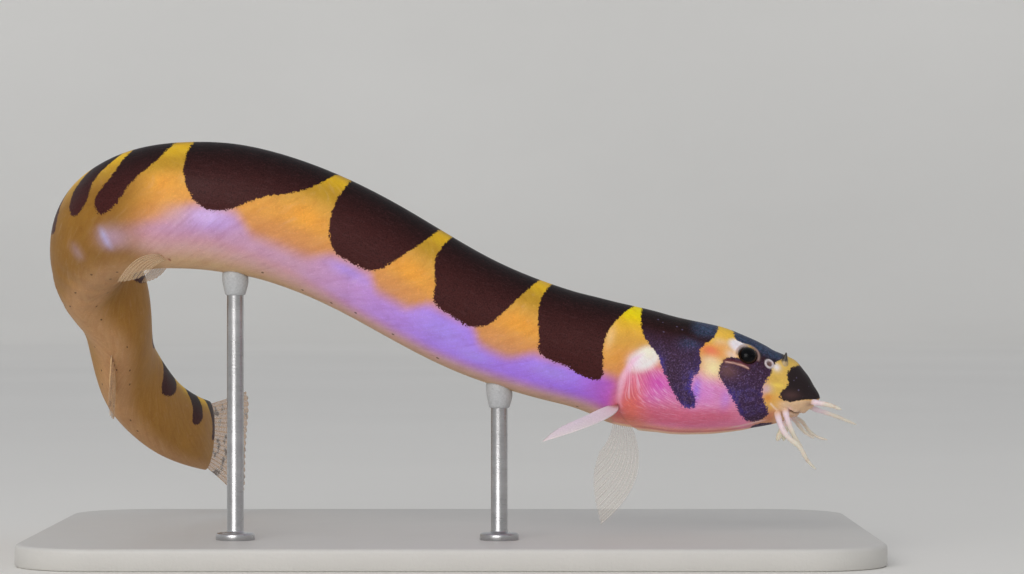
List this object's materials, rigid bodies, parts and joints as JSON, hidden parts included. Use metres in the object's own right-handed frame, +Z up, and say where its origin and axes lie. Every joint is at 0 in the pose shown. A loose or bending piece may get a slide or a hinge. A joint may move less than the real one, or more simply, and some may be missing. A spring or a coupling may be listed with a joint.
{
  "type": "kuhli loach",
  "caption": "Life-size still model of a banded eel-like freshwater loach with mouth barbels, its tail turned away and down, held over a flat base by short rods.",
  "frame": {"origin": "middle of the base plate's underside, on the surface that the stand rests on, under the middle of the whole model's box", "axes": "+X towards the fish's head, +Y towards its left flank at the front, +Z up"},
  "size_m": [0.062, 0.044, 0.0303],
  "materials": {
    "skin": "moist satin skin, near-black brown saddles on orange yellow, violet flanks and a rosy head",
    "eye": "glossy black",
    "barbel": "pale pinkish translucent",
    "fin_membrane": "thin translucent membrane with fine rays",
    "base_paint": "satin warm light grey powder coat",
    "rod_steel": "fine brushed"
  },
  "bodies": {
    "root": {"head": "skin", "trunk_front": "skin", "trunk_middle": "skin", "trunk_rear": "skin", "tail_front": "skin", "tail_rear": "skin", "eye_left": "eye", "eye_right": "eye", "barbel_rostral_left": "barbel", "barbel_rostral_right": "barbel", "barbel_maxillary_left": "barbel", "barbel_maxillary_right": "barbel", "barbel_mandibular_left": "barbel", "barbel_mandibular_right": "barbel", "lobe_mental_left": "barbel", "lobe_mental_right": "barbel", "pectoral_fin_left": "fin_membrane", "pectoral_fin_right": "fin_membrane", "pelvic_fin_left": "fin_membrane", "pelvic_fin_right": "fin_membrane", "dorsal_fin": "fin_membrane", "anal_fin": "fin_membrane", "caudal_fin": "fin_membrane", "stand_base": "base_paint", "stand_rod_front": "rod_steel", "stand_rod_rear": "rod_steel"}
  },
  "joints": []
}
